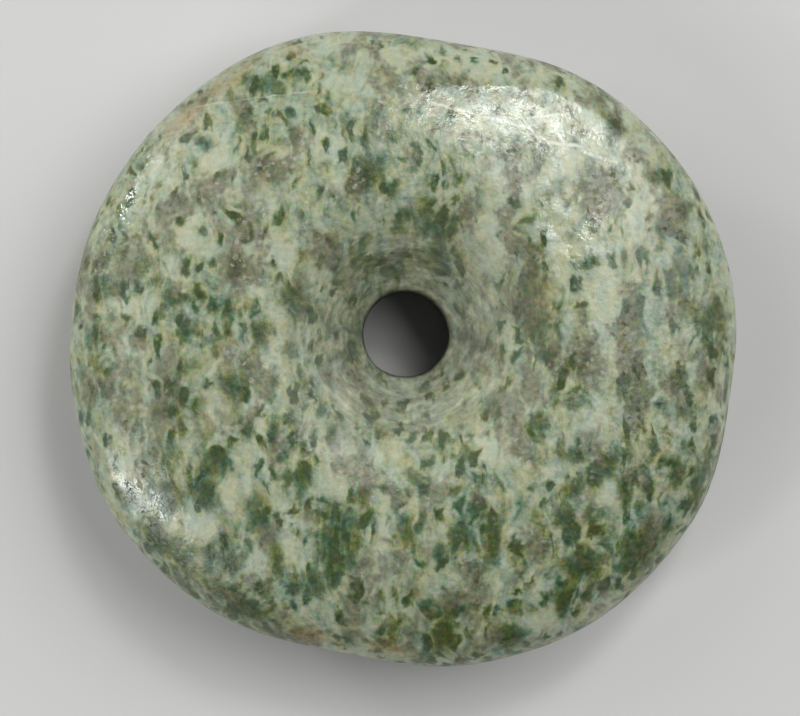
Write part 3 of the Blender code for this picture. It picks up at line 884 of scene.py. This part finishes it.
# %% [markdown]
# ### Scratches
#
# A few scratches cross the face. Each is a chain of straight strokes, and the material works out how far
# every point is from the nearest one. A scratch shows as a pale line: partly crushed stone in the groove,
# and partly a painted highlight where the groove's wall would catch the light. It is shallower than the
# net of points can hold, so it is given by colour.

# %% Scratches on the top face, in millimetres
SCRATCHES = (                               # each with how faint it is, from 0 to 1, and its points
    (0.0, (2.0, 17.3), (4.6, 16.5), (7.6, 15.9), (10.4, 14.5), (12.6, 14.2)),
    (0.0, (12.9, 13.75), (15.1, 13.05)),
    (0.1, (8.8, 16.2), (11.6, 16.5)),
    (0.5, (-14.6, 17.1), (-9.0, 17.8), (-6.0, 18.1)),
)
SCRATCH_HALF_WIDTH = 0.20
print("scratches", len(SCRATCHES), "of", sum(len(scratch) - 2 for scratch in SCRATCHES), "strokes in all")

# %% A hand shakes, so the strokes aren't quite straight
SHAKES_PER_MM = 1.3
SHAKE = (0.3, 0.3, 0.0)
shaken = pushed(in_mm, SHAKES_PER_MM, LIVELY_MIX, SHAKE)
shaken = add_node(rock, "VectorMath", MULTIPLY, _0=shaken, _1=IN_PLAN).outputs[0]
print("strokes stray by up to", SHAKE[0] / 2, "mm")

# %% Distance to the nearest stroke: along the stroke, held between its ends, and then across
nearest = None
for faintness, *chain in SCRATCHES:
    for start, end in zip(chain[:-1], chain[1:]):
        stroke = Vector((end[0] - start[0], end[1] - start[1], 0.0))
        reached = add_node(rock, "VectorMath", SUBTRACT, _0=shaken, _1=(*start, 0.0)).outputs[0]
        along_it = add_node(
            rock, "VectorMath", {"operation": "DOT_PRODUCT"}, _0=reached, _1=stroke / stroke.length_squared
        ).outputs["Value"]
        held = add_node(rock, "Clamp", Value=along_it).outputs[0]
        foot = add_node(rock, "VectorMath", {"operation": "SCALE"}, _0=tuple(stroke), Scale=held).outputs[0]
        gap = add_node(rock, "VectorMath", {"operation": "DISTANCE"}, _0=reached, _1=foot).outputs["Value"]
        faded = faintness * SCRATCH_HALF_WIDTH
        gap = add_node(rock, "Math", ADD, _0=gap, _1=faded).outputs[0]
        if nearest is not None:
            gap = add_node(rock, "Math", {"operation": "MINIMUM"}, _0=gap, _1=nearest).outputs[0]
        nearest = gap
print("strokes measured, with", len(rock.nodes), "nodes so far")

# %% The groove skips here and there, and lies on the top face alone
PALE_CORE_HALF_WIDTH = 0.02
SKIPS_PER_MM = 0.9
SKIP_BAND = (0.38, 0.62)                    # values of the noise, at a skip and where the groove is clear
SKIPS = (0.30, 0.80)                        # how pale the faintest and the clearest parts are
TOP_ONLY = (6.0, 7.0)                       # heights between which the scratches come in
scratch = add_node(
    rock, "MapRange", EASED, Value=nearest, **ramp(SCRATCH_HALF_WIDTH, PALE_CORE_HALF_WIDTH)
).outputs[0]
skips = add_node(rock, "TexNoise", Vector=in_mm, Scale=SKIPS_PER_MM, **SMOOTH_MIX).outputs[0]
skips = add_node(rock, "MapRange", Value=skips, **ramp(*SKIP_BAND), **giving(*SKIPS)).outputs[0]
height_in_mm = add_node(rock, "SeparateXYZ", _0=in_mm).outputs["Z"]
top_only = add_node(rock, "MapRange", Value=height_in_mm, **ramp(*TOP_ONLY)).outputs[0]
for held_back in (skips, top_only):
    scratch = add_node(rock, "Math", MULTIPLY, _0=scratch, _1=held_back).outputs[0]
# The pale line is partly crushed stone and partly a painted highlight of the groove's wall.
scratched = add_node(rock, "Mix", COLOURS, _0=scratch, _6=darkened, _7=linear("#d2d4c4")).outputs[2]
rock.links.new(scratched, shader.inputs["Base Color"])
print("colour joined, with", len(rock.nodes), "nodes so far")

# %% [markdown]
# ### Polish, bump and glitter
#
# Handling polished the outer face and the rim, and the dish stayed dull. Polished serpentinite has a
# refractive index of 1.56 and a roughness of about 0.3 to 0.45, which gives a soft, waxy shine. The polish
# isn't even: the minerals differ in hardness, so the surface stands in tiny hills and hollows that break
# every reflection into flecks. The ground flats are truer, and shine as one.

# %% Roughness
REFRACTIVE_INDEX = 1.56
ROUGHNESS = (0.30, 0.46)
WEAR_PER_MM = 0.9
WEAR_BAND = (0.35, 0.65)                    # values of the noise, at the smooth end and at the rough one
POLISH_GAIN = {"polish": -0.16, "glint": -0.24}
DISH_DULLS = (10.8, 8.2)                    # distances from the axis, where it begins and is dullest
DISH_ROUGHER = 0.20
worn = add_node(rock, "TexNoise", Vector=in_mm, Scale=WEAR_PER_MM, **LIVELY_MIX).outputs[0]
roughness = add_node(rock, "MapRange", Value=worn, **ramp(*WEAR_BAND), **giving(*ROUGHNESS)).outputs[0]
for name, gain in POLISH_GAIN.items():
    roughness = add_node(rock, "Math", MULTIPLY_ADD, _0=marks[name], _1=gain, _2=roughness).outputs[0]
dull_share = add_node(
    rock, "MapRange", Value=bore_distance, **ramp(*DISH_DULLS), To_Max=DISH_ROUGHER
).outputs[0]
roughness = add_node(rock, "Math", ADD, _0=dull_share, _1=roughness).outputs[0]
rock.links.new(roughness, shader.inputs["Roughness"])
shader.inputs["IOR"].default_value = REFRACTIVE_INDEX
print("roughness", ROUGHNESS, "and refractive index", REFRACTIVE_INDEX)

# %% Bump: hills of the harder minerals, in millimetres of height
HILLS_PER_MM = 1.5
HILL_MIX = {"Detail": 3.0, "Roughness": 0.45}
HILL_HEIGHT = (0.080, 0.020)                # on the worn face, and on a polished flat
GLINT_HEIGHT = 0.09
hills = add_node(rock, "TexNoise", Vector=in_mm, Scale=HILLS_PER_MM, **HILL_MIX).outputs[0]
hill_height = add_node(rock, "MapRange", Value=marks["polish"], **giving(*HILL_HEIGHT)).outputs[0]
hill_height = add_node(
    rock, "Math", MULTIPLY_ADD, _0=marks["glint"], _1=GLINT_HEIGHT, _2=hill_height
).outputs[0]
height = add_node(rock, "Math", MULTIPLY, _0=hills, _1=hill_height).outputs[0]
print("hills about", round(1 / HILLS_PER_MM, 2), "mm wide")

# %% Bump: the drill's rings, and the grit of the last grinding
RING_HEIGHT = 0.07
GRIT_PER_MM = 3.6
GRIT_HEIGHT = 0.022
BUMP_STRENGTH = 1.0                         # with MM as its distance, heights are in millimetres
ring_height = add_node(rock, "Math", MULTIPLY, _0=ring_marks, _1=dish_share).outputs[0]
grit = add_node(rock, "TexNoise", Vector=in_mm, Scale=GRIT_PER_MM, **SMOOTH_MIX).outputs[0]
for part, share in ((ring_height, RING_HEIGHT), (grit, GRIT_HEIGHT)):
    height = add_node(rock, "Math", MULTIPLY_ADD, _0=part, _1=share, _2=height).outputs[0]
bump = add_node(rock, "Bump", Strength=BUMP_STRENGTH, Distance=MM, Height=height).outputs[0]
print("bump up to", round(HILL_HEIGHT[0] + GLINT_HEIGHT + GRIT_HEIGHT, 3), "mm high")

# %% [markdown]
# In the smoky patches small flakes of mica face every way and catch the light one by one. Each Voronoi
# cell is a flake, and its own random colour tilts the surface. Only some of the cells are chosen.

# %% Mica flakes
FLAKES_PER_MM = 3.6
CHOSEN = (0.70, 0.74)                       # about three flakes in ten stand out
flakes = add_node(rock, "TexVoronoi", Vector=in_mm, Scale=FLAKES_PER_MM).outputs["Color"]
flake_tilt = add_node(rock, "VectorMath", SUBTRACT, _0=flakes, _1=MIDDLE).outputs[0]
chosen = add_node(rock, "SeparateXYZ", _0=flakes).outputs["X"]
chosen = add_node(rock, "MapRange", Value=chosen, **ramp(*CHOSEN)).outputs[0]
flake_part = add_node(rock, "Math", MULTIPLY, _0=chosen, _1=smoke_part).outputs[0]
flake_tilt = add_node(rock, "VectorMath", {"operation": "SCALE"}, _0=flake_tilt, Scale=flake_part).outputs[0]
tilted = add_node(rock, "VectorMath", ADD, _0=bump, _1=flake_tilt).outputs[0]
tilted = add_node(rock, "VectorMath", {"operation": "NORMALIZE"}, _0=tilted).outputs[0]
rock.links.new(tilted, shader.inputs["Normal"])
whorl.data.materials.append(stone)
print("material finished, with", len(rock.nodes), "nodes")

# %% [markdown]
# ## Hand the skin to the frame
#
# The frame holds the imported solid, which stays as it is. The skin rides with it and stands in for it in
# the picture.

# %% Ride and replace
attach(whorl, "root")
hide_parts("whorl")
print(whorl.name, "stands in for", solid.name)

# %% [markdown]
# ## Floor
#
# The whorl was photographed on a sheet of plain pale grey paper. A large flat plane does for it, because
# no edge or fold of the paper shows. The paper is matt: high roughness, and no sheen.

# %% Pale grey paper
FLOOR_SIZE = 1.2
PAPER_ROUGHNESS = 0.9
bpy.ops.mesh.primitive_plane_add(size=FLOOR_SIZE)
floor = bpy.context.object
floor.name = "floor"
paper = bpy.data.materials.new("pale grey paper")
paper.use_nodes = True
paper.node_tree.nodes["Principled BSDF"].inputs["Base Color"].default_value = linear("#cfcfce")
paper.node_tree.nodes["Principled BSDF"].inputs["Roughness"].default_value = PAPER_ROUGHNESS
floor.data.materials.append(paper)
print("floor", FLOOR_SIZE, "m wide")

# %% [markdown]
# ## Camera
#
# The photograph looks straight down, from far enough away that the stone's sides hardly show. So the lens
# is long, and the distance follows from how wide the picture is at the height of the stone's widest line.

# %% Camera straight above
PHOTO_WIDTH_PX = 800
MM_PER_PX = 0.07159                         # in the photograph, at the height of the widest line
FOCAL_LENGTH = 200.0                        # in millimetres, as the sensor is
SENSOR = 36.0
VIEW_CENTRE = (-0.20 * MM, -0.74 * MM)
WIDEST_HEIGHT = 6.0 * MM
NEAREST = 0.01                              # nothing nearer to the camera than this is drawn
view_width = PHOTO_WIDTH_PX * MM_PER_PX * MM
distance = view_width * FOCAL_LENGTH / SENSOR
camera_data = bpy.data.cameras.new("camera")
camera_data.lens = FOCAL_LENGTH
camera_data.sensor_width = SENSOR
camera_data.sensor_fit = "HORIZONTAL"
camera_data.clip_start = NEAREST
camera = bpy.data.objects.new("camera", camera_data)
camera.location = (*VIEW_CENTRE, WIDEST_HEIGHT + distance)
bpy.context.scene.collection.objects.link(camera)
bpy.context.scene.camera = camera
print("camera", round(distance, 3), "m above the widest line, picture", round(view_width / MM, 1), "mm wide")

# %% [markdown]
# ## Lights
#
# A large soft box from the upper right gives the stone its form and a soft shadow on the lower left. Three
# small lamps each put one broken highlight where the photograph has it: on the ground flat, along the
# left rim and on the lower left shoulder. A bulb would give hard shadows, so even these are small boxes.
# Two weak soft boxes lift the shadow side. All of them face the whorl from the same distance, so that a
# lamp is read by its bearing, its tilt from overhead, its size and its power alone.

# %% One lamp
LAMP_DISTANCE = 0.60


def lamp(name, bearing, tilt, size, power):
    """A square soft box at a bearing, tilted from overhead, facing the whorl."""
    data = bpy.data.lights.new(name, "AREA")
    data.shape = "SQUARE"
    data.size = size
    data.energy = power
    made = bpy.data.objects.new(name, data)
    b, t = math.radians(bearing), math.radians(tilt)
    towards = Vector((math.sin(t) * math.cos(b), math.sin(t) * math.sin(b), math.cos(t)))
    made.location = towards * LAMP_DISTANCE + Vector((0, 0, WIDEST_HEIGHT))
    made.rotation_euler = towards.to_track_quat("Z", "Y").to_euler()
    bpy.context.scene.collection.objects.link(made)


print("lamps stand", LAMP_DISTANCE, "m from the whorl")

# %% All the lamps: bearing and tilt in degrees, size in metres and power in watts
LAMPS = {
    "key softbox": (32, 42, 0.57, 2.98),
    "upper right lamp": (62, 37, 0.11, 0.60),
    "upper left lamp": (146, 80, 0.055, 0.68),
    "lower left lamp": (209, 58, 0.09, 0.44),
    "left fill": (146, 56, 0.44, 1.00),
    "low fill": (222, 58, 0.34, 0.92),
}
for name, settings in LAMPS.items():
    lamp(name, *settings)
print("lamps", len(LAMPS), "with", round(sum(settings[3] for settings in LAMPS.values()), 2), "W in all")

# %% The room around it is nearly dark
ROOM_STRENGTH = 0.05
world = bpy.data.worlds.new("soft room")
world.use_nodes = True
world.node_tree.nodes["Background"].inputs["Color"].default_value = linear("#e8e8ea")
world.node_tree.nodes["Background"].inputs["Strength"].default_value = ROOM_STRENGTH
bpy.context.scene.world = world
bpy.context.scene.view_settings.view_transform = "Standard"
print("room strength", ROOM_STRENGTH)
